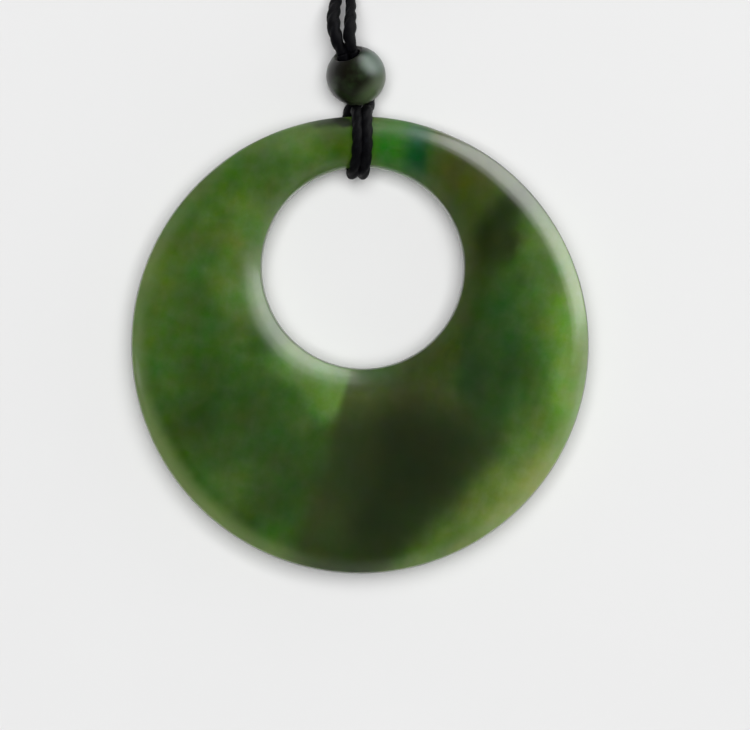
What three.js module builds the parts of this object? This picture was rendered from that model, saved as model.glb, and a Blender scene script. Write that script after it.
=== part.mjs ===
// A polished jade disc pendant with an off-centre hole, lying face up on a flat surface.
// A jade bead and a black waxed cord belong to it. The cord goes twice round the narrow bar
// above the hole, passes through the bead, and the rest of it lies wound in a round coil.
// Millimetres, +Z up. The origin is on the surface, under the middle of the disc, and the
// narrow bar points to +Y.

import * as THREE from 'three';
import { ParametricGeometry } from 'three/addons/geometries/ParametricGeometry.js';

// The cord
const cordDiameter = 1.05;
const cordSides = 8;

// The disc
const discRadius = 23;
const discThickness = 6;
const holeRadius = 10.1;
const holeOffset = 7.76; // from the middle of the disc to the middle of the hole
const underBarGap = cordDiameter + 0.15; // the cord passes between the bar and the surface

// The section of its narrow bar, which is rounded all over
const rimRounding = 2.3; // how far the rounding of the outer edge reaches in
const holeRounding = 2.6; // the same at the hole
const roundness = 2.2; // 2 is an ellipse, more is squarer
const crownReach = 7; // the bar also falls off over this distance towards both edges
const barLength = 8.4; // this length in the middle is all bar
const blendLength = 28; // outside this length nothing is bar

// The section elsewhere, flat with bevelled edges
const bevelWidth = 2.1; // along the rim
const bevelShare = 0.43; // of the half thickness goes off at the edge
const bevelPower = 1.5; // 1 is a straight bevel, more is hollower
const shoulderWidth = 3.2; // the softer bevel round the hole
const shoulderShare = 0.42;
const shoulderPower = 2;
const cornerRounding = 0.35; // between the bevels and the upright sides

// The bead
const beadRadius = 3;
const beadBore = 2 * cordDiameter + 0.4; // both strands pass through, with little play
const beadGap = cordDiameter + 0.02; // the cord passes between the bead and the disc's edge
const beadSideways = -1.37; // the bead lies a little to the left of the bar's middle
const beadBoreDirection = new THREE.Vector3(-0.339, 0.797, 0.5).normalize();

// The cord's route: twice round the bar and through the bead, then the two free strands
const cordWrap = [
  [-1.82, 29.55, 4.54], [-1.18, 28.03, 3.59], [-0.50, 26.44, 2.59], [-0.13, 25.56, 2.04],
  [0.06, 24.82, 1.72], [0.00, 24.12, 1.90], [-0.11, 23.67, 2.55], [-0.16, 23.58, 3.20],
  [-0.18, 23.43, 3.85], [-0.16, 22.85, 4.46], [-0.12, 22.09, 5.00], [-0.07, 21.13, 5.35],
  [-0.03, 20.44, 5.44], [-0.04, 19.74, 5.35], [-0.08, 18.78, 5.00], [-0.17, 18.02, 4.46],
  [-0.26, 17.47, 3.85], [-0.31, 17.23, 3.00], [-0.35, 17.47, 2.15], [-0.42, 18.01, 1.54],
  [-0.52, 18.76, 1.00], [-0.64, 19.72, 0.65], [-0.73, 20.42, 0.57], [-0.84, 21.10, 0.62],
  [-0.96, 22.06, 1.00], [-1.07, 22.82, 1.54], [-1.18, 23.39, 2.15], [-1.23, 23.54, 3.00],
  [-1.25, 23.39, 3.85], [-1.23, 22.81, 4.46], [-1.19, 22.05, 5.00], [-1.14, 21.09, 5.35],
  [-1.10, 20.40, 5.44], [-1.11, 19.70, 5.35], [-1.15, 18.74, 5.00], [-1.24, 17.98, 4.46],
  [-1.33, 17.43, 3.85], [-1.38, 17.19, 3.00], [-1.42, 17.43, 2.15], [-1.49, 17.97, 1.54],
  [-1.59, 18.73, 1.00], [-1.71, 19.68, 0.65], [-1.81, 20.38, 0.57], [-1.92, 21.14, 0.58],
  [-2.01, 22.04, 0.72], [-2.06, 22.84, 0.85], [-1.96, 23.54, 0.98], [-1.58, 24.10, 1.12],
  [-1.13, 24.58, 1.42], [-1.22, 25.31, 1.91], [-1.56, 26.10, 2.41], [-2.23, 27.70, 3.41],
  [-2.88, 29.21, 4.36],
];
const rightRun = [
  [-1.93, 29.79, 4.69], [-2.15, 30.59, 4.98], [-2.13, 31.54, 4.80], [-2.13, 32.54, 4.25],
  [-2.13, 33.55, 3.40], [-2.16, 34.54, 2.45], [-2.20, 35.54, 1.55], [-2.27, 36.64, 0.85],
  [-2.35, 37.74, 0.56], [-2.35, 39.20, 0.56],
];
const leftRun = [
  [-2.98, 29.45, 4.51], [-3.32, 30.25, 4.84], [-3.62, 31.19, 4.72], [-3.82, 32.28, 4.20],
  [-3.80, 33.39, 3.35], [-3.68, 34.39, 2.45], [-3.57, 35.40, 1.55], [-3.48, 36.50, 0.85],
  [-3.45, 37.70, 0.56], [-3.45, 40.60, 0.56],
];

// The coil: both strands are wound side by side, four turns wide
const turnSpacing = cordDiameter + 0.05; // from one turn of the cord to the next
const coilMiddleRadius = 6.2;
const coilCentre = [4.4, 45.6];
const coilColumns = 4;
const outerRows = 3; // the two outer columns are this many turns high
const innerRows = 4;

// The knot that joins the two ends, in the middle of the coil
const knotRadius = 2.2;
const knotHeight = 2.3;

const jadeGreen = new THREE.MeshStandardMaterial({ color: 0x3f6b25, roughness: 0.12, metalness: 0 });
const darkJade = new THREE.MeshStandardMaterial({ color: 0x1c2416, roughness: 0.15, metalness: 0 });
const blackCord = new THREE.MeshStandardMaterial({ color: 0x0c0c0e, roughness: 0.55, metalness: 0 });

// Rounding of an edge: 0 on the edge itself and 1 from reach inwards.
function rounded(distance, reach) {
  const left = 1 - THREE.MathUtils.clamp(distance / reach, 0, 1);
  return Math.pow(1 - Math.pow(left, roundness), 1 / roundness);
}

// How far the bar falls off at its edges, so that its middle clears the surface.
const halfBar = (discRadius - holeOffset - holeRadius) / 2;
const barShare = 1 - underBarGap / (discThickness / 2);
const crownFall = (1 - Math.sqrt(barShare)) / Math.pow(1 - Math.min(halfBar / crownReach, 0.9), 2);

function crown(distance) {
  const left = 1 - THREE.MathUtils.clamp(distance / crownReach, 0, 1);
  return 1 - crownFall * left * left;
}

// What a bevel leaves of the half thickness at a distance from its edge.
function bevelled(distance, width, share, power) {
  const left = 1 - THREE.MathUtils.clamp(distance / width, 0, 1);
  return 1 - share * Math.pow(left, power);
}

function halfThickness(x, y) {
  const fromRim = Math.max(discRadius - Math.hypot(x, y), 0);
  const fromHole = Math.max(Math.hypot(x, y - holeOffset) - holeRadius, 0);
  const barEdges = rounded(fromRim, rimRounding) * rounded(fromHole, holeRounding);
  const bar = barEdges * crown(fromRim) * crown(fromHole);
  const corners = rounded(fromRim, cornerRounding) * rounded(fromHole, cornerRounding);
  const rimBevel = bevelled(fromRim, bevelWidth, bevelShare, bevelPower);
  const holeBevel = bevelled(fromHole, shoulderWidth, shoulderShare, shoulderPower);
  const fromBar = Math.hypot(x, y - (discRadius + holeOffset + holeRadius) / 2);
  const blend = THREE.MathUtils.smoothstep(fromBar, barLength / 2, blendLength / 2);
  return (discThickness / 2) * (bar + blend * (corners * rimBevel * holeBevel - bar));
}

// Places across the ring of the given width, from the hole (0) to the rim (1): close together
// near the two edges, and even between them.
const roundingSteps = 5;
const middleSteps = 6;

function acrossPlaces(width) {
  const holeShare = Math.min(holeRounding / width, 0.48);
  const rimShare = Math.min(rimRounding / width, 0.48);
  const places = [];
  for (let i = 0; i < roundingSteps; i += 1) {
    places.push(holeShare * (1 - Math.cos((i / roundingSteps) * (Math.PI / 2))));
  }
  for (let i = 0; i <= middleSteps; i += 1) {
    places.push(holeShare + (i / middleSteps) * (1 - rimShare - holeShare));
  }
  for (let i = roundingSteps - 1; i >= 0; i -= 1) {
    places.push(1 - rimShare * (1 - Math.cos((i / roundingSteps) * (Math.PI / 2))));
  }
  return places;
}

// One closed surface: round the ring, and round its section from the hole over the top to
// the rim and back underneath.
function discGeometry(aroundSteps) {
  const across = 2 * roundingSteps + middleSteps;
  const surface = (u, v, target) => {
    const angle = -u * 2 * Math.PI;
    const onHole = [holeRadius * Math.cos(angle), holeOffset + holeRadius * Math.sin(angle)];
    const onRim = [discRadius * Math.cos(angle), discRadius * Math.sin(angle)];
    const width = Math.hypot(onRim[0] - onHole[0], onRim[1] - onHole[1]);
    const step = Math.round(v * 2 * across);
    const under = step > across;
    const share = acrossPlaces(width)[under ? 2 * across - step : step];
    const x = onHole[0] + share * (onRim[0] - onHole[0]);
    const y = onHole[1] + share * (onRim[1] - onHole[1]);
    const isEdge = step % across === 0;
    const height = isEdge ? 0 : halfThickness(x, y);
    target.set(x, y, discThickness / 2 + (under ? -height : height));
  };
  return new ParametricGeometry(surface, aroundSteps, 2 * across);
}

function makeDisc() {
  const disc = new THREE.Mesh(discGeometry(88), jadeGreen);
  disc.name = 'jade_disc';
  return disc;
}

// A ball turned round its bore: the outer arc from mouth to mouth, then straight back.
function makeBead() {
  const boreRadius = beadBore / 2;
  const mouthAngle = Math.asin(boreRadius / beadRadius);
  const arcSteps = 14;
  const profile = [];
  for (let i = 0; i <= arcSteps; i += 1) {
    const angle = Math.PI - mouthAngle - (i / arcSteps) * (Math.PI - 2 * mouthAngle);
    profile.push(new THREE.Vector2(beadRadius * Math.sin(angle), beadRadius * Math.cos(angle)));
  }
  profile.push(profile[0].clone());
  const bead = new THREE.Mesh(new THREE.LatheGeometry(profile, 28), darkJade);
  bead.name = 'jade_bead';
  bead.position.set(beadSideways, discRadius + beadGap + beadRadius, beadRadius);
  bead.quaternion.setFromUnitVectors(new THREE.Vector3(0, 1, 0), beadBoreDirection);
  return bead;
}

// A plain tube with flat ends along a smooth curve through the points.
function makeStrand(name, points, stepsPerPoint) {
  const path = new THREE.CatmullRomCurve3(points.map((p) => new THREE.Vector3(...p)));
  const section = new THREE.Shape();
  for (let i = 0; i < cordSides; i += 1) {
    const angle = (i / cordSides) * 2 * Math.PI;
    const corner = [(cordDiameter / 2) * Math.cos(angle), (cordDiameter / 2) * Math.sin(angle)];
    if (i === 0) {
      section.moveTo(...corner);
    } else {
      section.lineTo(...corner);
    }
  }
  section.closePath();
  const steps = Math.round((points.length - 1) * stepsPerPoint);
  const tube = new THREE.ExtrudeGeometry(section, { steps, extrudePath: path, bevelEnabled: false });
  const strand = new THREE.Mesh(tube, blackCord);
  strand.name = name;
  return strand;
}

// The outer shape of the coil, as a turned ring with a step where the rows differ.
function makeCoil() {
  const halfWidth = (coilColumns * turnSpacing) / 2;
  const inner = coilMiddleRadius - halfWidth;
  const outer = coilMiddleRadius + halfWidth;
  const chamfer = turnSpacing * 0.3;
  const profile = [
    [inner + chamfer, 0],
    [outer - chamfer, 0],
    [outer, chamfer],
    [outer, outerRows * turnSpacing - chamfer],
    [outer - chamfer, outerRows * turnSpacing],
    [coilMiddleRadius + chamfer, outerRows * turnSpacing],
    [coilMiddleRadius, innerRows * turnSpacing - chamfer],
    [coilMiddleRadius - chamfer, innerRows * turnSpacing],
    [inner + chamfer, innerRows * turnSpacing],
    [inner, innerRows * turnSpacing - chamfer],
    [inner, chamfer],
    [inner + chamfer, 0],
  ].map((p) => new THREE.Vector2(...p));
  const coil = new THREE.Mesh(new THREE.LatheGeometry(profile, 48), blackCord);
  coil.name = 'cord_coil';
  coil.rotation.x = Math.PI / 2;
  coil.position.set(...coilCentre, 0);
  return coil;
}

function makeKnot() {
  const profile = [new THREE.Vector2(0, 0)];
  const rows = 8;
  for (let i = 1; i < rows; i += 1) {
    const angle = (i / rows) * Math.PI;
    const up = (knotHeight / 2) * (1 - Math.cos(angle));
    profile.push(new THREE.Vector2(knotRadius * Math.pow(Math.sin(angle), 0.7), up));
  }
  profile.push(new THREE.Vector2(0, knotHeight));
  const knot = new THREE.Mesh(new THREE.LatheGeometry(profile, 20), blackCord);
  knot.name = 'end_knot';
  knot.rotation.x = Math.PI / 2;
  knot.position.set(...coilCentre, 0);
  return knot;
}

const pendant = new THREE.Group();
pendant.add(makeDisc());
pendant.add(makeBead());
pendant.add(makeStrand('cord_wrap', cordWrap, 1));
pendant.add(makeStrand('cord_left', leftRun, 1));
pendant.add(makeStrand('cord_right', rightRun, 1));
pendant.add(makeCoil());
pendant.add(makeKnot());

export default pendant;
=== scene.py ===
# A jade disc pendant on its black cord, lying face up on a pale surface.
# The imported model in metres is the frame, and every piece shown here is a finer mesh
# that stands for one or two of its nodes.
import math

import bpy
import numpy as np
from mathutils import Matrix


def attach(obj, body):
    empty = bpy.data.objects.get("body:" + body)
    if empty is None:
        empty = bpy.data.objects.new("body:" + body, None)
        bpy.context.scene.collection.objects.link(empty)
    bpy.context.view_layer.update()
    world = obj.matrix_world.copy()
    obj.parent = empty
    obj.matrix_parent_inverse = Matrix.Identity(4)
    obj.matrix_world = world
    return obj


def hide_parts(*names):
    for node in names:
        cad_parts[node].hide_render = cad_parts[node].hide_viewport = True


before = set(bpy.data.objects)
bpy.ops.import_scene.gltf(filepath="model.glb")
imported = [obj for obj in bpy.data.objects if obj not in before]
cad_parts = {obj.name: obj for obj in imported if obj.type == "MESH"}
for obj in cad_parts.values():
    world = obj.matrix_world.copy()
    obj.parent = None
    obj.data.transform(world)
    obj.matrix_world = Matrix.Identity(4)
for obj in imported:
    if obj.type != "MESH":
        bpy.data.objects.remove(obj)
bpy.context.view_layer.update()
mm = 0.001

# Camera
view = {
    "across": 75.5 * mm,  # width of the picture at the disc's middle plane
    "distance": 400 * mm,
    "plane": 3 * mm,  # height of the disc's middle plane
    "middle": (1.58 * mm, -1.96 * mm),  # the point in the middle of the picture
    "roll": math.radians(2.05),  # the hole stands this far off the picture's upright
    "sensor": 36.0,
}


def makeCamera():
    data = bpy.data.cameras.new("camera")
    data.sensor_width = view["sensor"]
    data.lens = view["sensor"] * view["distance"] / view["across"]
    data.clip_start = 0.01
    data.clip_end = 20
    camera = bpy.data.objects.new("camera", data)
    camera.location = (*view["middle"], view["plane"] + view["distance"])
    camera.rotation_euler = (0, 0, view["roll"])
    bpy.context.collection.objects.link(camera)
    bpy.context.scene.camera = camera


makeCamera()
print("camera made")


# Meshes
def makeMesh(name, points, faces, material):
    mesh = bpy.data.meshes.new(name)
    mesh.from_pydata([tuple(p) for p in points], [], faces)
    mesh.validate()
    mesh.update()
    mesh.shade_smooth()
    mesh.materials.append(material)
    piece = bpy.data.objects.new(name, mesh)
    bpy.context.collection.objects.link(piece)
    return piece


def closedGrid(rows, columns):
    # four-sided faces over a grid that closes on itself both ways
    faces = []
    for i in range(rows):
        for j in range(columns):
            start, nextStart = i * columns, (i + 1) % rows * columns
            k = (j + 1) % columns
            faces.append((start + j, nextStart + j, nextStart + k, start + k))
    return faces


# Shader maths: a wrapped socket whose operators add Math nodes
class Value:
    def __init__(self, tree, socket):
        self.tree = tree
        self.socket = socket

    def maths(self, operation, other=None, swapped=False):
        node = self.tree.nodes.new("ShaderNodeMath")
        node.operation = operation
        pair = (other, self) if swapped else (self, other)
        for slot, item in enumerate(pair):
            if isinstance(item, Value):
                self.tree.links.new(item.socket, node.inputs[slot])
            elif item is not None:
                node.inputs[slot].default_value = item
        return Value(self.tree, node.outputs[0])

    def __add__(self, other):
        return self.maths("ADD", other)

    def __radd__(self, other):
        return self.maths("ADD", other)

    def __sub__(self, other):
        return self.maths("SUBTRACT", other)

    def __rsub__(self, other):
        return self.maths("SUBTRACT", other, swapped=True)

    def __mul__(self, other):
        return self.maths("MULTIPLY", other)

    def __rmul__(self, other):
        return self.maths("MULTIPLY", other)

    def __truediv__(self, other):
        return self.maths("DIVIDE", other)

    def __pow__(self, other):
        return self.maths("POWER", other)

    def root(self):
        return self.maths("SQRT")

    def atLeast(self, other):
        return self.maths("MAXIMUM", other)

    def atMost(self, other):
        return self.maths("MINIMUM", other)


class Shader:
    def __init__(self, owner):
        # the owner is a material or a world
        self.owner = owner
        owner.use_nodes = True
        self.tree = owner.node_tree
        self.tree.nodes.clear()

    def node(self, kind, settings=None, inputs=None):
        made = self.tree.nodes.new("ShaderNode" + kind)
        for key, setting in (settings or {}).items():
            setattr(made, key, setting)
        for key, item in (inputs or {}).items():
            socket = made.inputs[key]
            if isinstance(item, Value):
                self.tree.links.new(item.socket, socket)
            elif isinstance(item, tuple) and len(item) == 3 and socket.type == "RGBA":
                socket.default_value = (*item, 1)
            else:
                socket.default_value = item
        return made

    def out(self, node, key=0):
        return Value(self.tree, node.outputs[key])

    def place(self):
        # object coordinates in millimetres, as three values
        coordinates = self.node("TexCoord")
        parts = self.node("SeparateXYZ", inputs={"Vector": self.out(coordinates, "Object")})
        return [self.out(parts, axis) / mm for axis in ("X", "Y", "Z")]

    def vector(self, x, y, z):
        return self.out(self.node("CombineXYZ", inputs={"X": x, "Y": y, "Z": z}))

    def noise(self, where, scale, detail, roughness):
        made = self.node("TexNoise", inputs={
            "Vector": where, "Scale": scale, "Detail": detail, "Roughness": roughness})
        return self.out(made)

    def smooth(self, item, low, high):
        # 0 at low and 1 at high, eased; low may be the larger
        made = self.node("MapRange", {"interpolation_type": "SMOOTHSTEP"}, {
            "Value": item, "From Min": low, "From Max": high, "To Min": 0.0, "To Max": 1.0})
        return self.out(made)

    def mix(self, share, first, second):
        # blends two colours
        made = self.node("Mix", {"data_type": "RGBA"})
        for socket, item in ((made.inputs[0], share), (made.inputs[6], first), (made.inputs[7], second)):
            if isinstance(item, Value):
                self.tree.links.new(item.socket, socket)
            else:
                socket.default_value = (*item, 1)
        return Value(self.tree, made.outputs[2])

    def finish(self, **inputs):
        shader = self.node("BsdfPrincipled", inputs=inputs)
        output = self.node("OutputMaterial")
        self.tree.links.new(shader.outputs[0], output.inputs["Surface"])
        return self.owner


def newMaterial(name):
    return Shader(bpy.data.materials.new(name))


def paint(red, green, blue):
    # the linear colour of a screen colour given from 0 to 255
    shares = [item / 255 for item in (red, green, blue)]
    return tuple(c / 12.92 if c < 0.04045 else ((c + 0.055) / 1.055) ** 2.4 for c in shares)


# The disc
disc = {
    "radius": 23.0,
    "thickness": 6.0,
    "holeRadius": 10.1,
    "holeOffset": 7.76,
    "underBarGap": 1.2,
    "rimRounding": 2.3,
    "holeRounding": 2.6,
    "roundness": 2.2,
    "crownReach": 7.0,
    "barLength": 8.4,  # the bar's own section reaches this far along it
    "blendLength": 28.0,  # and from here on the section is the flat one
    "rimBevel": (2.9, 0.43, 2.0),  # width, share of the half thickness, power
    "holeBevel": (4.2, 0.46, 2.3),
    "cornerRounding": 0.2,
    "aroundSteps": 420,
    "roundingSteps": 24,
    "middleSteps": 24,
    "roundingLimit": 0.48,  # the most of the width that one rounding's steps may take
}


def rounded(distance, reach):
    left = 1 - np.clip(distance / reach, 0, 1)
    return (1 - left ** disc["roundness"]) ** (1 / disc["roundness"])


def crown(distance):
    halfBar = (disc["radius"] - disc["holeOffset"] - disc["holeRadius"]) / 2
    barShare = 1 - disc["underBarGap"] / (disc["thickness"] / 2)
    fall = (1 - math.sqrt(barShare)) / (1 - halfBar / disc["crownReach"]) ** 2
    left = 1 - np.clip(distance / disc["crownReach"], 0, 1)
    return 1 - fall * left * left


def bevelled(distance, width, share, power):
    return 1 - share * (1 - np.clip(distance / width, 0, 1)) ** power


def halfThickness(x, y):
    # a rounded section in the narrow bar, and a flat one with bevelled edges elsewhere
    fromRim = np.maximum(disc["radius"] - np.hypot(x, y), 0)
    fromHole = np.maximum(np.hypot(x, y - disc["holeOffset"]) - disc["holeRadius"], 0)
    bar = rounded(fromRim, disc["rimRounding"]) * rounded(fromHole, disc["holeRounding"])
    bar = bar * crown(fromRim) * crown(fromHole)
    wide = rounded(fromRim, disc["cornerRounding"]) * rounded(fromHole, disc["cornerRounding"])
    wide = wide * bevelled(fromRim, *disc["rimBevel"]) * bevelled(fromHole, *disc["holeBevel"])
    fromBar = np.hypot(x, y - (disc["radius"] + disc["holeOffset"] + disc["holeRadius"]) / 2)
    share = (2 * fromBar - disc["barLength"]) / (disc["blendLength"] - disc["barLength"])
    share = np.clip(share, 0, 1)
    share = share * share * (3 - 2 * share)
    return disc["thickness"] / 2 * (bar + share * (wide - bar))


def acrossPlaces(width):
    # shares of the way from the hole to the rim, close together in the two roundings
    holeShare = min(disc["holeRounding"] / width, disc["roundingLimit"])
    rimShare = min(disc["rimRounding"] / width, disc["roundingLimit"])
    turn = 1 - np.cos(np.arange(disc["roundingSteps"]) / disc["roundingSteps"] * math.pi / 2)
    steps = np.arange(disc["middleSteps"] + 1) / disc["middleSteps"]
    between = holeShare + steps * (1 - rimShare - holeShare)
    return np.concatenate([holeShare * turn, between, 1 - rimShare * turn[::-1]])


def makeDisc(material):
    points = []
    for angle in np.arange(disc["aroundSteps"]) / disc["aroundSteps"] * 2 * math.pi:
        direction = np.array([math.cos(angle), math.sin(angle)])
        onHole = disc["holeRadius"] * direction + (0, disc["holeOffset"])
        onRim = disc["radius"] * direction
        share = acrossPlaces(np.linalg.norm(onRim - onHole))[:, None]
        flat = onHole + share * (onRim - onHole)
        half = halfThickness(flat[:, 0], flat[:, 1])
        half[[0, -1]] = 0
        middle = disc["thickness"] / 2
        top = np.column_stack([flat, middle + half])
        under = np.column_stack([flat, middle - half])[-2:0:-1]
        points.append(np.concatenate([top, under]))
    columns = len(points[0])
    return makeMesh("jadeDisc", np.concatenate(points) * mm, closedGrid(len(points), columns), material)


# The disc's jade. Places are in millimetres from the disc's middle, across and up the picture.
# An oval is (middle, half sizes, degrees that its top leans to the left, softness, colour, share).
# An edge is (start, end, softness), and what it bounds lies on its right.
jade = {
    "wander": 3.2,  # how far the patches' outlines wander
    "wanderNoise": (0.16, 4, 0.6),
    "bandWander": 1.0,
    "bandSpread": 1.3,  # the band's left side is this much softer towards the foot
    "roughness": 0.28,
    "ior": 1.61,
    "coatIor": 1.55,
    "coatRoughness": 0.16,
    "glow": (0.7, (0.7, 1.3, 0.5), 0.9),  # subsurface weight, radii and scale in millimetres
    "bump": (0.06, 0.0001),  # strength and distance
    "low": paint(44, 78, 25),
    "middle": paint(58, 90, 33),
    "high": paint(78, 104, 43),
    "bandColour": paint(46, 57, 26),
    "bandTop": paint(66, 78, 38),
    "bandCores": [
        ((5.2, -11.8), (5.6, 7.2), -20, 0.65, paint(27, 36, 14), 0.9),
        ((1.8, -18.4), (2.8, 3.2), -15, 0.6, paint(27, 38, 15), 0.7),
    ],
    "bandEdges": [
        ((-6.85, -20.24), (-0.95, -2.72), 0.4),
        ((-0.60, -3.00), (8.10, -3.60), 1.3),
        ((8.10, -4.00), (14.60, -9.60), 2.2),
        ((14.60, -9.60), (3.50, -21.90), 1.8),
    ],
    "brownColour": paint(56, 69, 25),
    "brownEdges": [
        ((6.90, 14.00), (8.60, 23.00), 2.0),
        ((17.80, 14.10), (13.20, 4.50), 1.3),
        ((13.20, 4.50), (10.60, -7.60), 2.2),
    ],
    "brightColour": paint(96, 134, 56),
    "oliveColour": paint(104, 126, 60),
    "paintedGlowColour": paint(140, 158, 92),
    "paintedEdgeShade": paint(30, 44, 20),
    "paintedMilkyTone": paint(138, 160, 116),
    "ovals": [
        ((-15.7, 1.5), (3.2, 5.0), 10, 0.6, paint(46, 80, 26), 0.55),
        ((-10.5, 17.3), (3.4, 2.6), 0, 0.6, paint(52, 88, 22), 0.6),
        ((-16.6, -8.3), (2.6, 2.4), 0, 0.7, paint(38, 60, 18), 0.75),
        ((-10.0, -11.5), (6.6, 6.4), 20, 0.6, paint(44, 68, 27), 0.85),
        ((-11.2, 8.0), (3.0, 6.6), -12, 0.6, paint(96, 120, 54), 0.5),
        ((-13.9, -14.6), (4.0, 1.8), 40, 0.6, paint(80, 104, 46), 0.35),
        ((-5.5, -1.4), (3.2, 2.6), 0, 0.5, paint(96, 128, 62), 0.7),
        ((-2.6, -4.0), (2.6, 3.1), 10, 0.6, paint(98, 134, 62), 0.8),
        ((4.2, 20.2), (2.9, 3.4), 0, 0.4, paint(50, 102, 34), 0.9),
        ((9.8, 17.4), (2.6, 3.6), 35, 0.5, paint(66, 70, 24), 0.5),
        ((14.3, 11.6), (2.2, 4.8), -34, 0.5, paint(27, 39, 12), 0.9),
        ((18.2, 8.8), (2.0, 4.6), 14, 0.6, paint(82, 112, 50), 0.75),
        ((-13.4, -3.8), (3.6, 2.4), -10, 0.7, paint(36, 62, 20), 0.55),
        ((11.2, -5.0), (1.4, 4.4), -5, 0.6, paint(24, 42, 18), 0.6),
        ((13.3, -1.8), (3.0, 8.0), -6, 0.7, paint(33, 56, 24), 0.75),
        ((17.6, -13.6), (1.8, 6.2), -40, 0.7, paint(142, 156, 94), 0.6),
        ((21.2, -3.6), (1.7, 4.0), 0, 0.7, paint(124, 152, 80), 0.5),
        ((6.0, 18.8), (1.5, 2.5), 0, 0.75, paint(14, 62, 30), 0.95),
        ((6.0, 21.2), (1.1, 1.0), 0, 0.7, paint(24, 84, 54), 0.8),
        ((-2.6, 20.6), (1.6, 2.4), -5, 0.6, paint(48, 72, 22), 0.65),
        # the near-black spot left of the cord and its tail are partly painted: a dark inclusion mixed with
        # a painted reflection of the cord in the polished rim
        ((-3.1, 22.5), (1.7, 0.6), 8, 0.6, paint(22, 42, 16), 0.9),
        ((-1.9, 22.3), (1.1, 0.75), -10, 0.4, paint(4, 12, 6), 1.0),
    ],
}


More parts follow.
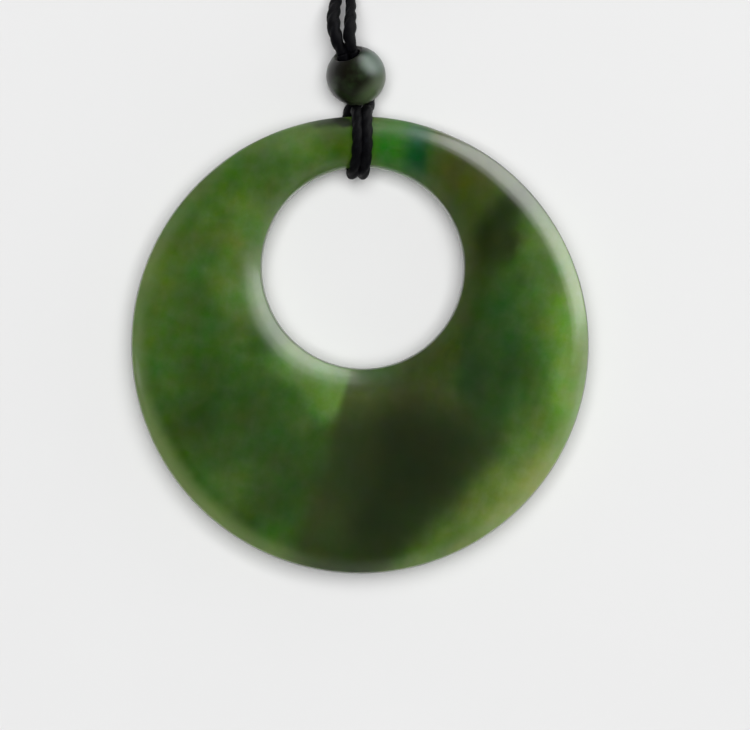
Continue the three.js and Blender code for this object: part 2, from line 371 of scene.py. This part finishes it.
def makeJade():
    s = newMaterial("jade")
    x, y, z = s.place()
    cosRoll, sinRoll = math.cos(view["roll"]), math.sin(view["roll"])
    across = x * cosRoll + y * sinRoll
    up = y * cosRoll - x * sinRoll
    where = s.vector(across, up, z)
    wanderAcross = s.noise(where, *jade["wanderNoise"]) - 0.5
    wanderUp = s.noise(s.vector(up + 31, across - 17, z), *jade["wanderNoise"]) - 0.5
    wx = across + wanderAcross * jade["wander"]
    wy = up + wanderUp * jade["wander"]

    def oval(middle, size, lean, soft):
        c, n = math.cos(math.radians(lean)), math.sin(math.radians(lean))
        dx, dy = wx - middle[0], wy - middle[1]
        a = (dx * c + dy * n) / size[0]
        b = (dy * c - dx * n) / size[1]
        return s.smooth((a * a + b * b).root(), 1 + soft, 1 - soft)

    def rightOf(start, end, soft, drift=jade["wander"]):
        # 1 on the right-hand side of the way from start to end
        long = math.dist(start, end)
        sx, sy = (end[0] - start[0]) / long, (end[1] - start[1]) / long
        px = across + wanderAcross * drift
        py = up + wanderUp * drift
        return s.smooth((px - start[0]) * sy - (py - start[1]) * sx, 0 - soft, soft)

    def inside(edges, drift=jade["wander"], spread=0.0):
        # 1 on the right-hand side of every edge; spread softens the first one more
        start, end, soft = edges[0]
        mask = rightOf(start, end, soft + spread, drift)
        for edge in edges[1:]:
            mask = mask * rightOf(*edge, drift)
        return mask

    clouds = s.noise(where, 0.13, 4, 0.55)
    colour = s.mix(s.smooth(clouds, 0.36, 0.56), jade["low"], jade["middle"])
    lit = s.smooth(up - across * 0.45, 5, 17) * 0.6
    lit = lit + s.smooth(s.noise(where, 0.21, 4, 0.55), 0.5, 0.7) * 0.5
    colour = s.mix(lit.atMost(1), colour, jade["high"])
    colour = s.mix(inside(jade["brownEdges"]) * 0.95, colour, jade["brownColour"])
    lowRight = rightOf((3.5, -21.9), (14.6, -9.6), 2.0) * s.smooth(wy, -3, -10)
    colour = s.mix(lowRight * 0.68, colour, jade["oliveColour"])
    right = s.smooth(wx, 17.0, 21.2) * s.smooth(wy, 13.8, 10.5)
    colour = s.mix(right * 0.85, colour, jade["brightColour"])
    for middle, size, lean, soft, tone, share in jade["ovals"]:
        colour = s.mix(oval(middle, size, lean, soft) * share, colour, tone)
    bandTone = s.mix(s.smooth(up, -9, -4.5), jade["bandColour"], jade["bandTop"])
    spread = s.smooth(up, -3.5, -14) * jade["bandSpread"]
    colour = s.mix(inside(jade["bandEdges"], jade["bandWander"], spread) * 0.95, colour, bandTone)
    for middle, size, lean, soft, tone, share in jade["bandCores"]:
        colour = s.mix(oval(middle, size, lean, soft) * share, colour, tone)
    # streaks that lean a little to the right, and fine mottling
    stretched = s.vector((across - up * 0.25) * 1.1, (up + across * 0.25) * 0.12, z * 0.4)
    streaks = s.noise(stretched, 0.8, 4, 0.6)
    cloudy = s.noise(where, 0.24, 3, 0.55)
    fine = s.noise(where, 0.8, 3, 0.6)
    shade = 1.02 + (cloudy - 0.5) * 0.8 + (fine - 0.5) * 0.12 + (streaks - 0.5) * 0.3
    onBar = s.smooth(up, 17.5, 20.5) * s.smooth(across, 9.5, 4.5)
    tint = 0.5 + (s.noise(s.vector(up - 9, across + 40, z), 0.3, 3, 0.6) - 0.5) * 0.12
    richness = 1.04 - (fine - 0.5) * 0.6 + onBar * 0.1
    colour = s.out(s.node("HueSaturation", inputs={
        "Color": colour, "Hue": tint, "Saturation": richness, "Value": shade}))
    # painted glow: the thin edge is painted paler at the sides and lower left, standing for light shining
    # through it; painted shade: its outermost line, and the hole's, is painted dark
    fromRim = disc["radius"] - (x * x + y * y).root()
    toHole = y - disc["holeOffset"]
    fromHole = (x * x + toHole * toHole).root() - disc["holeRadius"]
    lowLeft = s.smooth(across * -0.6 - up * 0.8, 14, 20) * s.smooth(across, -3.5, -8)
    pale = 0.04 + 0.2 * s.smooth(across * across, 20, 170) * s.smooth(up, 16, 8) + lowLeft * 0.22
    colour = s.mix(s.smooth(fromRim, 2.4, 0.3) * pale, colour, jade["paintedGlowColour"])
    fromMiddle = ((z - disc["thickness"] / 2) ** 2).root()
    # painted shade: a dark line along the outermost edge of the rim and of the hole
    outline = s.smooth(fromRim.atMost(fromHole), 0.2, 0.05) * s.smooth(fromMiddle, 1.0, 1.4)
    colour = s.mix(outline * 0.8, colour, jade["paintedEdgeShade"])
    # painted highlight: a pale milky patch beside the hole on its lower left, standing for the bevel's
    # reflection of the light
    towards = (x * -0.8 - toHole * 0.6) / (x * x + toHole * toHole).root()
    paintedMilkyHighlight = s.smooth(towards, 0.58, 0.9) * s.smooth(fromHole, 2.9, 1.1)
    colour = s.mix(paintedMilkyHighlight * 0.22, colour, jade["paintedMilkyTone"])
    # the polish is softer round the hole and along the bar
    soft = s.smooth(fromHole, 3.4, 1.2).atLeast(onBar)
    polish = s.noise(where, 0.5, 3, 0.5)
    strength, distance = jade["bump"]
    weight, radii, scale = jade["glow"]
    bump = s.node("Bump", inputs={"Strength": strength, "Distance": distance, "Height": polish})
    return s.finish(**{
        "Base Color": colour,
        "Roughness": jade["roughness"] + polish * 0.04 + soft * 0.06 + onBar * 0.15 + outline * 0.2,
        "IOR": jade["ior"],
        "Coat Weight": (1 - 0.2 * soft - 0.7 * onBar) * (1 - outline),
        "Coat IOR": jade["coatIor"],
        "Coat Roughness": jade["coatRoughness"],
        "Subsurface Weight": weight,
        "Subsurface Radius": radii,
        "Subsurface Scale": scale * mm,
        "Normal": s.out(bump),
    })


discPiece = makeDisc(makeJade())
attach(discPiece, "root")
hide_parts("jade_disc")
print("disc made")

# The bead
bead = {
    "radius": 3.0,
    "bore": 2.4,
    "centre": (-1.37, 27.07, 3.0),
    "boreDirection": (-0.339, 0.797, 0.5),
    "mouthRounding": 0.28,
    "aroundSteps": 120,
    "arcSteps": 72,
    "boreSteps": 12,
    "mouthSteps": 6,
    "roughness": 0.29,
    "ior": 1.45,
    "glow": (0.4, (0.7, 1.2, 0.5), 0.6),  # subsurface weight, radii and scale in millimetres
    "bump": (0.1, 0.00005),  # strength and distance
    # where the painted highlight sits and how far it fades
    "paintedSheenPlace": (1.8, 1.4),  # from the bead's middle
    "paintedSheenReach": (1.9, 0.6),  # where it starts and where it is full
    "dark": paint(17, 16, 9),
    "green": paint(34, 48, 26),
    "pale": paint(84, 100, 68),
    "paintedSheen": paint(112, 130, 118),
}


def frameAlong(direction):
    # two unit vectors at right angles to the direction and to each other
    along = np.array(direction) / np.linalg.norm(direction)
    side = np.cross(along, (0, 0, 1))
    side /= np.linalg.norm(side)
    return along, side, np.cross(side, along)


def makeBead(material):
    boreRadius = bead["bore"] / 2
    mouthAngle = math.asin((boreRadius + bead["mouthRounding"]) / bead["radius"])
    angles = np.linspace(mouthAngle, math.pi - mouthAngle, bead["arcSteps"])
    profile = [(bead["radius"] * math.sin(a), bead["radius"] * math.cos(a)) for a in angles]
    inset = profile[0][1] - bead["mouthRounding"]
    for share in np.linspace(0, 1, bead["mouthSteps"])[1:-1]:
        turn = share * math.pi / 2
        rounding = bead["mouthRounding"] * (1 - math.sin(turn))
        profile.append((boreRadius + rounding, -inset - bead["mouthRounding"] * math.cos(turn)))
    for height in np.linspace(-inset, inset, bead["boreSteps"]):
        profile.append((boreRadius, height))
    for share in np.linspace(1, 0, bead["mouthSteps"])[1:-1]:
        turn = share * math.pi / 2
        rounding = bead["mouthRounding"] * (1 - math.sin(turn))
        profile.append((boreRadius + rounding, inset + bead["mouthRounding"] * math.cos(turn)))
    along, side, other = frameAlong(bead["boreDirection"])
    points = []
    for angle in np.arange(bead["aroundSteps"]) / bead["aroundSteps"] * 2 * math.pi:
        outward = math.cos(angle) * side + math.sin(angle) * other
        points += [np.array(bead["centre"]) + r * outward + h * along for r, h in profile]
    faces = closedGrid(bead["aroundSteps"], len(profile))
    return makeMesh("jadeBead", np.array(points) * mm, faces, material)


def makeDarkJade():
    s = newMaterial("darkJade")
    x, y, z = s.place()
    where = s.vector(x, y, z)
    clouds = s.smooth(s.noise(where, 0.5, 4, 0.6), 0.4, 0.7)
    colour = s.mix(clouds, bead["dark"], bead["green"])
    # painted glow: the lower right is painted paler, standing for light shining through the stone
    glowLowRight = s.smooth(x - bead["centre"][0] - (y - bead["centre"][1]) * 0.8, 1.2, 3.4)
    colour = s.mix(glowLowRight * 0.8, colour, bead["pale"])
    # painted highlight: a pale soft patch on the upper right, where the light from the upper right is
    # reflected
    dx = x - bead["centre"][0] - bead["paintedSheenPlace"][0]
    dy = y - bead["centre"][1] - bead["paintedSheenPlace"][1]
    paintedSheen = s.smooth((dx * dx + dy * dy).root(), *bead["paintedSheenReach"])
    colour = s.mix(paintedSheen * 0.75, colour, bead["paintedSheen"])
    polish = s.noise(where, 1.5, 3, 0.5)
    strength, distance = bead["bump"]
    weight, radii, scale = bead["glow"]
    bump = s.node("Bump", inputs={"Strength": strength, "Distance": distance, "Height": polish})
    return s.finish(**{
        "Base Color": colour,
        "Roughness": bead["roughness"] + polish * 0.05,
        "IOR": bead["ior"],
        "Subsurface Weight": weight,
        "Subsurface Radius": radii,
        "Subsurface Scale": scale * mm,
        "Normal": s.out(bump),
    })


beadPiece = makeBead(makeDarkJade())
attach(beadPiece, "root")
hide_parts("jade_bead")
print("bead made")

# The cord. Its routes repeat the CAD model's points, but its second pass over the bar
# lies closer to the first. A swell gives how much fuller the cord is at distances in
# millimetres from the stretch's start.
cord = {
    "diameter": 1.05,
    "plies": 3,
    "plyRadius": 0.36,
    "fullness": 1.05,  # the fibres stand a little proud of the stated diameter
    "core": 0.26,  # least radius, as a share of the diameter
    "twistPitch": 4.4,  # length of one full turn of a ply
    "unevenness": 0.02,
    "unevenSpan": 20,  # the steps from one draw of it to the next
    "sides": 24,
    "step": 0.22,
    "curveSteps": 12,  # points on the curve between two given ones
    "roughness": 0.42,
    "ior": 1.4,
    "specular": 0.16,
    "bump": (0.7, 0.00006),  # strength and distance
    "black": paint(7, 7, 9),
    "worn": paint(22, 23, 28),
    "wrapSwell": ((0, 1.0), (4.5, 1.0), (5.2, 1.18), (6.6, 1.14), (14, 1.12), (50, 1.12)),
    "leftSwell": ((0, 1.1), (1.0, 1.16), (2.1, 1.28), (3.4, 1.32), (4.8, 1.22), (6.5, 1.1), (9, 1.0)),
    "rightSwell": ((0, 1.1), (1.4, 1.22), (3.0, 1.2), (4.5, 1.0)),
}
wrapRoute = [
    (-1.82, 29.55, 4.54), (-1.18, 28.03, 3.59), (-0.50, 26.44, 2.59), (-0.13, 25.56, 2.04),
    (0.06, 24.82, 1.72), (0.00, 24.12, 1.90), (-0.11, 23.67, 2.55), (-0.16, 23.58, 3.20),
    (-0.18, 23.43, 3.85), (-0.16, 22.85, 4.46), (-0.12, 22.09, 5.00), (-0.07, 21.13, 5.35),
    (-0.03, 20.44, 5.44), (-0.04, 19.74, 5.35), (-0.08, 18.78, 5.00), (-0.17, 18.02, 4.46),
    (-0.26, 17.47, 3.85), (-0.31, 17.23, 3.00), (-0.35, 17.47, 2.15), (-0.42, 18.01, 1.54),
    (-0.52, 18.76, 1.00), (-0.64, 19.72, 0.65), (-0.73, 20.42, 0.57), (-0.84, 21.10, 0.62),
    (-0.96, 22.06, 1.00), (-1.07, 22.82, 1.54), (-1.18, 23.39, 2.15), (-1.23, 23.54, 3.00),
    (-1.14, 23.39, 3.85), (-1.08, 22.81, 4.46), (-1.02, 22.05, 5.00), (-0.96, 21.09, 5.35),
    (-0.92, 20.40, 5.44), (-0.93, 19.70, 5.35), (-0.98, 18.74, 5.00), (-1.10, 17.98, 4.46),
    (-1.25, 17.43, 3.85), (-1.38, 17.19, 3.00), (-1.42, 17.43, 2.15), (-1.49, 17.97, 1.54),
    (-1.59, 18.73, 1.00), (-1.71, 19.68, 0.65), (-1.81, 20.38, 0.57), (-1.92, 21.14, 0.58),
    (-2.01, 22.04, 0.72), (-2.06, 22.84, 0.85), (-1.96, 23.54, 0.98), (-1.58, 24.10, 1.12),
    (-1.13, 24.58, 1.42), (-1.22, 25.31, 1.91), (-1.56, 26.10, 2.41), (-2.23, 27.70, 3.41),
    (-2.88, 29.21, 4.36),
]
rightRun = [
    (-1.82, 29.55, 4.54), (-1.93, 29.79, 4.69), (-2.15, 30.59, 4.98), (-2.13, 31.54, 4.80),
    (-2.13, 32.54, 4.25), (-2.13, 33.55, 3.40), (-2.16, 34.54, 2.45), (-2.20, 35.54, 1.55),
    (-2.27, 36.64, 0.85), (-2.35, 37.74, 0.56), (-2.35, 39.20, 0.56), (-2.35, 42.00, 0.56),
]
leftRun = [
    (-2.88, 29.21, 4.36), (-2.98, 29.45, 4.51), (-3.32, 30.25, 4.84), (-3.62, 31.19, 4.72),
    (-3.82, 32.28, 4.20), (-3.80, 33.39, 3.35), (-3.68, 34.39, 2.45), (-3.57, 35.40, 1.55),
    (-3.48, 36.50, 0.85), (-3.45, 37.70, 0.56), (-3.45, 40.60, 0.56), (-3.45, 42.40, 0.56),
]
coil = {
    "centre": (4.4, 45.6),
    "middleRadius": 6.2,
    "middleColumn": 1.5,
    "spacing": 1.1,
    # pair of columns and row of each turn
    "turns": [(1, 0), (0, 0), (0, 1), (1, 1), (1, 2), (0, 2), (0, 3)],
    "pointsPerTurn": 36,
    "climb": (0.72, 0.84),  # share of the turn where a strand rises to the next row
    "shift": (0.84, 0.96),  # and where it moves to the next columns
}
# the way from the coil to the knot: distance from the coil's middle, bearing in degrees, height
leftTail = [
    (5.4, 165, 3.90), (4.6, 140, 3.95), (3.6, 115, 3.60), (2.8, 88, 2.80), (2.2, 55, 1.95), (1.7, 25, 1.35),
]
rightTail = [
    (4.3, 165, 3.85), (3.5, 140, 3.55), (2.7, 112, 2.85), (2.1, 80, 2.00), (1.7, 40, 1.30), (1.5, 0, 1.10),
]


def eased(share, span):
    # 0 before the span, 1 after it, and eased within
    share = min(max((share - span[0]) / (span[1] - span[0]), 0.0), 1.0)
    return share * share * (3 - 2 * share)


def roundCoil(radius, angle, height):
    # the place at this distance and bearing from the coil's middle
    x, y = coil["centre"]
    return (x + radius * math.cos(angle), y + radius * math.sin(angle), height)


def coilPoints(isLeft):
    # the left strand keeps to the outer column of each pair
    points = []
    for turn, (pair, row) in enumerate(coil["turns"]):
        nextPair, nextRow = coil["turns"][min(turn + 1, len(coil["turns"]) - 1)]
        for i in range(coil["pointsPerTurn"]):
            share = i / coil["pointsPerTurn"]
            climbed = eased(share, coil["climb"])
            shifted = eased(share, coil["shift"])
            column = 2 * (pair + shifted * (nextPair - pair)) + (1 if isLeft else 0)
            radius = coil["middleRadius"] + (column - coil["middleColumn"]) * coil["spacing"]
            height = cord["diameter"] / 2 + (row + climbed * (nextRow - row)) * coil["spacing"]
            points.append(roundCoil(radius, math.pi - share * 2 * math.pi, height))
    return points


def tailPoints(tail):
    return [roundCoil(radius, math.radians(degrees), height) for radius, degrees, height in tail]


def smoothLine(points, step):
    # a smooth curve through the points, in even steps
    p = np.array(points, float)
    p = np.concatenate([[2 * p[0] - p[1]], p, [2 * p[-1] - p[-2]]])
    fine = []
    for i in range(1, len(p) - 2):
        knots = [0.0]
        for a, b in ((i - 1, i), (i, i + 1), (i + 1, i + 2)):
            knots.append(knots[-1] + max(np.linalg.norm(p[b] - p[a]), 1e-6) ** 0.5)
        t0, t1, t2, t3 = knots
        for t in np.linspace(t1, t2, cord["curveSteps"], endpoint=False):
            a1 = (t1 - t) / (t1 - t0) * p[i - 1] + (t - t0) / (t1 - t0) * p[i]
            a2 = (t2 - t) / (t2 - t1) * p[i] + (t - t1) / (t2 - t1) * p[i + 1]
            a3 = (t3 - t) / (t3 - t2) * p[i + 1] + (t - t2) / (t3 - t2) * p[i + 2]
            b1 = (t2 - t) / (t2 - t0) * a1 + (t - t0) / (t2 - t0) * a2
            b2 = (t3 - t) / (t3 - t1) * a2 + (t - t1) / (t3 - t1) * a3
            fine.append((t2 - t) / (t2 - t1) * b1 + (t - t1) / (t2 - t1) * b2)
    fine.append(p[-2])
    fine = np.array(fine)
    along = np.concatenate([[0], np.cumsum(np.linalg.norm(np.diff(fine, axis=0), axis=1))])
    at = np.linspace(0, along[-1], max(2, round(along[-1] / step)) + 1)
    return np.column_stack([np.interp(at, along, fine[:, k]) for k in range(3)])


def makeStrand(name, line, material, seed, twist=0.0, swell=((0, 1.0),)):
    # a twisted cord of round plies: the section is the outline of the plies, turned as it goes along
    rng = np.random.default_rng(seed)
    tangents = np.gradient(line, axis=0)
    tangents /= np.linalg.norm(tangents, axis=1)[:, None]
    normal = np.cross(tangents[0], (0.3, 0.2, 1.0))
    normal /= np.linalg.norm(normal)
    plyOut = cord["diameter"] / 2 - cord["plyRadius"]
    around = np.arange(cord["sides"]) / cord["sides"] * 2 * math.pi
    plyAngle = 2 * math.pi / cord["plies"]
    points = []
    travelled = 0.0
    draws = np.arange(0, len(line) + 2 * cord["unevenSpan"], cord["unevenSpan"])
    uneven = np.interp(np.arange(len(line)), draws, rng.normal(0, 1, len(draws)))
    for i, centre in enumerate(line):
        if i:
            travelled += np.linalg.norm(centre - line[i - 1])
            normal = normal - tangents[i] * np.dot(normal, tangents[i])
            normal /= np.linalg.norm(normal)
        other = np.cross(tangents[i], normal)
        turned = twist + travelled / cord["twistPitch"] * 2 * math.pi
        nearest = (around - turned + plyAngle / 2) % plyAngle - plyAngle / 2
        reach = np.maximum(cord["plyRadius"] ** 2 - (plyOut * np.sin(nearest)) ** 2, 0)
        radius = np.maximum(plyOut * np.cos(nearest) + np.sqrt(reach), cord["diameter"] * cord["core"])
        radius = radius * cord["fullness"] * (1 + cord["unevenness"] * uneven[i])
        radius = radius * np.interp(travelled, *zip(*swell))
        outward = np.cos(around)[:, None] * normal + np.sin(around)[:, None] * other
        points.append(centre + radius[:, None] * outward)
    count, sides = len(points), cord["sides"]
    faces = []
    for i in range(count - 1):
        for j in range(sides):
            k = (j + 1) % sides
            faces.append((i * sides + j, i * sides + k, (i + 1) * sides + k, (i + 1) * sides + j))
    faces.append(tuple(range(sides - 1, -1, -1)))
    faces.append(tuple(range((count - 1) * sides, count * sides)))
    return makeMesh(name, np.concatenate(points) * mm, faces, material)


def makeBlackCord():
    s = newMaterial("blackCord")
    x, y, z = s.place()
    where = s.vector(x, y, z)
    fibres = s.noise(where, 9.0, 4, 0.7)
    wear = s.noise(where, 1.2, 3, 0.6)
    colour = s.mix(s.smooth(fibres * 0.5 + wear * 0.5, 0.5, 0.75), cord["black"], cord["worn"])
    strength, distance = cord["bump"]
    bump = s.node("Bump", inputs={"Strength": strength, "Distance": distance, "Height": fibres})
    return s.finish(**{
        "Base Color": colour,
        "Roughness": cord["roughness"] + wear * 0.25,
        "IOR": cord["ior"],
        "Specular IOR Level": cord["specular"],
        "Normal": s.out(bump),
    })


blackCord = makeBlackCord()
wrapPiece = makeStrand("cordWrap", smoothLine(wrapRoute, cord["step"]), blackCord, twist=0.4, seed=3,
                       swell=cord["wrapSwell"])
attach(wrapPiece, "root")
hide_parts("cord_wrap")
print("cord round the bar made")

# The knot that joins the two ends
knot = {
    "ringRadius": 1.12,
    "tubeRadius": 0.54,
    "rise": 0.60,
    "height": 1.13,
    "steps": 96,
    "gap": 0.16,  # left open at each end, in radians of the loop
    "fineness": 0.6,  # its steps, as a share of the cord's
}


def knotLine():
    # an open overhand knot: it goes twice round and three times through itself
    points = []
    for i in range(knot["steps"] + 1):
        t = knot["gap"] + i / knot["steps"] * (2 * math.pi - 2 * knot["gap"])
        reach = knot["ringRadius"] + knot["tubeRadius"] * math.cos(3 * t)
        points.append(roundCoil(reach, 2 * t, knot["height"] + knot["rise"] * math.sin(3 * t)))
    return points


knotCurve = smoothLine(knotLine(), cord["step"] * knot["fineness"])
knotPiece = makeStrand("endKnot", knotCurve, blackCord, seed=5)
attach(knotPiece, "root")
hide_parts("end_knot")
print("knot made")


def makeFreeStrand(name, run, isLeft, tail, *nodes):
    line = smoothLine(run + coilPoints(isLeft) + tailPoints(tail), cord["step"])
    piece = makeStrand(name, line, blackCord, twist=1.1 if isLeft else 0.2, seed=7 if isLeft else 9,
                       swell=cord["leftSwell"] if isLeft else cord["rightSwell"])
    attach(piece, "root")
    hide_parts(*nodes)
    cord["diameter"] * mm


makeFreeStrand("strandLeft", leftRun, True, leftTail, "cord_left", "cord_coil")
makeFreeStrand("strandRight", rightRun, False, rightTail, "cord_right")

# Floor and light
studio = {
    "floor": 0.765,
    "floorRoughness": 0.75,
    "floorSize": 3.0,
    "window": {"across": 44, "height": 21, "distance": 1.0, "size": (1.45, 0.72), "radiance": 2.9},
    "above": {"across": 44, "height": 48, "distance": 1.0, "size": (1.3, 0.24), "radiance": 1.1},
    "right": {"across": -4, "height": 10, "distance": 1.0, "size": (0.75, 0.30), "radiance": 0.7},
    "left": {"across": 187, "height": 16, "distance": 1.0, "size": (0.10, 0.14), "radiance": 1.2},
    "top": {"across": 64, "height": 85, "distance": 1.1, "size": (0.8, 0.8), "radiance": 7.4},
    "low": 0.32,  # brightness of the room near the horizon on the bright side
    "lowFar": 0.16,  # and on the other
    "high": 0.015,  # and straight above, where the polished face looks
    "brightSide": (0.95, 0.25),  # how far to the right and to the picture's foot it lies
    "heights": (0.75, 0.30),  # on the way down, where it starts to brighten and where it ends
    "roomColour": (0.98, 0.99, 1.0),
}


def makeFloor():
    s = newMaterial("paleFloor")
    x, y, z = s.place()
    mottle = s.noise(s.vector(x, y, z), 0.05, 3, 0.5)
    grey = (studio["floor"],) * 3
    colour = s.mix(mottle, tuple(0.98 * c for c in grey), grey)
    size = studio["floorSize"] / 2
    corners = [(-size, -size, 0), (size, -size, 0), (size, size, 0), (-size, size, 0)]
    material = s.finish(**{"Base Color": colour, "Roughness": studio["floorRoughness"]})
    makeMesh("floor", corners, [(0, 1, 2, 3)], material)


def makeLight(name, glossy=True, diffuse=True):
    # across is the bearing in degrees from the picture's right, and height is above the floor, in degrees
    lamp = studio[name]
    data = bpy.data.lights.new(name, "AREA")
    data.shape = "RECTANGLE"
    data.size, data.size_y = lamp["size"]
    data.energy = lamp["radiance"] * math.pi * data.size * data.size_y
    light = bpy.data.objects.new(name, data)
    bearing = math.radians(lamp["across"]) + view["roll"]
    height = math.radians(lamp["height"])
    light.location = (lamp["distance"] * math.cos(height) * math.cos(bearing),
                      lamp["distance"] * math.cos(height) * math.sin(bearing),
                      lamp["distance"] * math.sin(height))
    light.rotation_euler = (math.pi / 2 - height, 0, bearing + math.pi / 2)
    light.visible_glossy = glossy
    light.visible_diffuse = diffuse
    light.visible_camera = False
    bpy.context.collection.objects.link(light)


def makeWorld():
    world = bpy.data.worlds.new("room")
    s = Shader(world)
    direction = s.node("SeparateXYZ", inputs={"Vector": s.out(s.node("TexCoord"), "Generated")})
    toRight, toFront = studio["brightSide"]
    bright = s.smooth(s.out(direction, "X") * toRight - s.out(direction, "Y") * toFront, 0.0, 0.8)
    share = s.smooth(s.out(direction, "Z"), *studio["heights"])
    low = studio["lowFar"] + bright * (studio["low"] - studio["lowFar"])
    strength = studio["high"] + share * (low - studio["high"])
    background = s.node("Background", inputs={"Color": studio["roomColour"], "Strength": strength})
    output = s.node("OutputWorld")
    s.tree.links.new(background.outputs[0], output.inputs["Surface"])
    bpy.context.scene.world = world
    bpy.context.scene.view_settings.view_transform = "Standard"


makeFloor()
makeLight("window", diffuse=False)
makeLight("above", diffuse=False)
makeLight("right")
makeLight("left")
makeLight("top", glossy=False)
makeWorld()
print("floor and light made")
